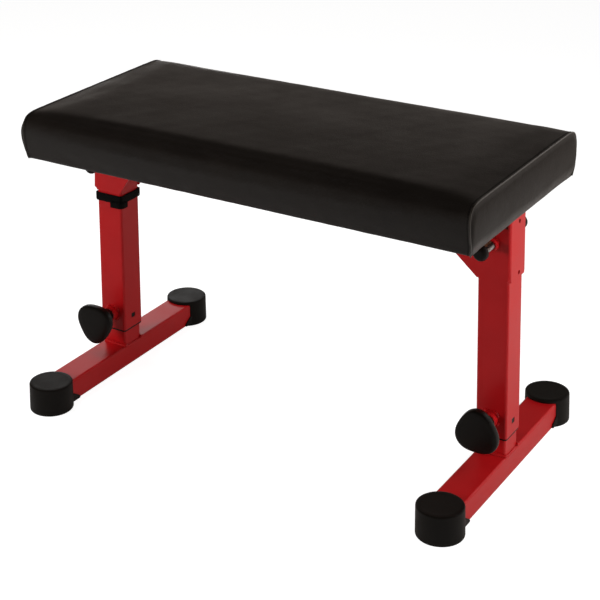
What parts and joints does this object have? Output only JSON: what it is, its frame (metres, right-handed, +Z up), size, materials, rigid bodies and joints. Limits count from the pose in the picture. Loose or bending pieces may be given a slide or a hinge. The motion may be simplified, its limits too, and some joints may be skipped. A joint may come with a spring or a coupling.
{
  "type": "folding exercise bench",
  "caption": "Flat padded bench on two square-tube legs that fold in under the seat and telescope for height, each on a crosswise base beam with round rubber feet.",
  "frame": {"origin": "on the floor, below the middle of the seat", "axes": "+X along the seat towards the end nearer the viewer in the picture, +Y to the rear, away from the height knobs, +Z up"},
  "size_m": [0.864, 0.4936, 0.534],
  "materials": {
    "red_paint": "gloss",
    "black_leatherette": "satin",
    "foam": "matte",
    "plywood": "matte",
    "black_plastic": "satin",
    "black_rubber": "matte",
    "zinc_steel": "satin",
    "chrome": "polished",
    "black_webbing": "matte"
  },
  "bodies": {
    "seat": {"seat_cover": "black_leatherette", "seat_foam": "foam", "seat_board": "plywood", "spine_tube": "red_paint", "left_spine_plug": "black_plastic", "left_cross_member": "red_paint", "left_pivot_sleeve": "zinc_steel", "seat_bolt_front_left": "zinc_steel", "seat_bolt_rear_left": "zinc_steel", "right_spine_plug": "black_plastic", "right_cross_member": "red_paint", "right_pivot_sleeve": "zinc_steel", "seat_bolt_front_right": "zinc_steel", "seat_bolt_rear_right": "zinc_steel"},
    "left_leg": {"left_leg_tube": "red_paint", "left_hinge_bracket": "red_paint", "left_pivot_bolt": "zinc_steel", "left_pivot_nut": "zinc_steel", "left_guide_bushing": "black_plastic", "left_height_collar": "red_paint", "left_leg_strap": "black_webbing", "left_front_lock_collar": "red_paint", "left_front_lock_barrel": "chrome", "left_front_lock_spring": "zinc_steel", "left_rear_lock_collar": "red_paint", "left_rear_lock_barrel": "chrome", "left_rear_lock_spring": "zinc_steel"},
    "left_foot": {"left_inner_post": "red_paint", "left_base_beam": "red_paint", "left_front_foot_cap": "black_rubber", "left_rear_foot_cap": "black_rubber"},
    "left_height_screw": {"left_height_screw": "zinc_steel"},
    "left_height_knob": {"left_height_knob": "black_plastic"},
    "left_front_lock": {"left_front_lock_pin": "zinc_steel", "left_front_lock_knob": "black_plastic"},
    "left_rear_lock": {"left_rear_lock_pin": "zinc_steel", "left_rear_lock_knob": "black_plastic"},
    "right_leg": {"right_leg_tube": "red_paint", "right_hinge_bracket": "red_paint", "right_pivot_bolt": "zinc_steel", "right_pivot_nut": "zinc_steel", "right_guide_bushing": "black_plastic", "right_height_collar": "red_paint", "right_front_lock_collar": "red_paint", "right_front_lock_barrel": "chrome", "right_front_lock_spring": "zinc_steel", "right_rear_lock_collar": "red_paint", "right_rear_lock_barrel": "chrome", "right_rear_lock_spring": "zinc_steel"},
    "right_foot": {"right_inner_post": "red_paint", "right_base_beam": "red_paint", "right_front_foot_cap": "black_rubber", "right_rear_foot_cap": "black_rubber"},
    "right_height_screw": {"right_height_screw": "zinc_steel"},
    "right_height_knob": {"right_height_knob": "black_plastic"},
    "right_front_lock": {"right_front_lock_pin": "zinc_steel", "right_front_lock_knob": "black_plastic"},
    "right_rear_lock": {"right_rear_lock_pin": "zinc_steel", "right_rear_lock_knob": "black_plastic"}
  },
  "joints": [
    {"name": "left_leg_fold", "type": "hinge", "parent": "seat", "child": "left_leg", "pos_m": [-0.33, 0, 0.402], "axis": [0, -1, 0], "range_deg": [0, 70]},
    {"name": "left_foot_slide", "type": "slide", "parent": "left_leg", "child": "left_foot", "axis": [0, 0, -1], "range_m": [0, 0.08]},
    {"name": "left_height_screw_travel", "type": "slide", "parent": "left_leg", "child": "left_height_screw", "axis": [0, -1, 0], "range_m": [0, 0.0105]},
    {"name": "left_height_knob_turn", "type": "hinge", "parent": "left_height_screw", "child": "left_height_knob", "pos_m": [-0.38, -0.02675, 0.106], "axis": [0, -1, 0], "range_deg": [0, 2160]},
    {"name": "left_front_lock_pull", "type": "slide", "parent": "left_leg", "child": "left_front_lock", "axis": [0, -1, 0], "range_m": [0, 0.012], "stiffness_N_per_m": 300, "springref_m": -0.01, "deforming": ["left_front_lock_spring"]},
    {"name": "left_rear_lock_pull", "type": "slide", "parent": "left_leg", "child": "left_rear_lock", "axis": [0, 1, 0], "range_m": [0, 0.012], "stiffness_N_per_m": 300, "springref_m": -0.01, "deforming": ["left_rear_lock_spring"]},
    {"name": "right_leg_fold", "type": "hinge", "parent": "seat", "child": "right_leg", "pos_m": [0.33, 0, 0.402], "axis": [0, 1, 0], "range_deg": [0, 90]},
    {"name": "right_foot_slide", "type": "slide", "parent": "right_leg", "child": "right_foot", "axis": [0, 0, -1], "range_m": [0, 0.08]},
    {"name": "right_height_screw_travel", "type": "slide", "parent": "right_leg", "child": "right_height_screw", "axis": [0, -1, 0], "range_m": [0, 0.0105]},
    {"name": "right_height_knob_turn", "type": "hinge", "parent": "right_height_screw", "child": "right_height_knob", "pos_m": [0.38, -0.02675, 0.106], "axis": [0, -1, 0], "range_deg": [0, 2160]},
    {"name": "right_front_lock_pull", "type": "slide", "parent": "right_leg", "child": "right_front_lock", "axis": [0, -1, 0], "range_m": [0, 0.012], "stiffness_N_per_m": 300, "springref_m": -0.01, "deforming": ["right_front_lock_spring"]},
    {"name": "right_rear_lock_pull", "type": "slide", "parent": "right_leg", "child": "right_rear_lock", "axis": [0, 1, 0], "range_m": [0, 0.012], "stiffness_N_per_m": 300, "springref_m": -0.01, "deforming": ["right_rear_lock_spring"]}
  ],
  "couplings": [
    {"joint": "left_height_screw_travel", "follows": "left_height_knob_turn", "m_per_rad": 0.0002785},
    {"joint": "right_height_screw_travel", "follows": "right_height_knob_turn", "m_per_rad": 0.0002785}
  ]
}
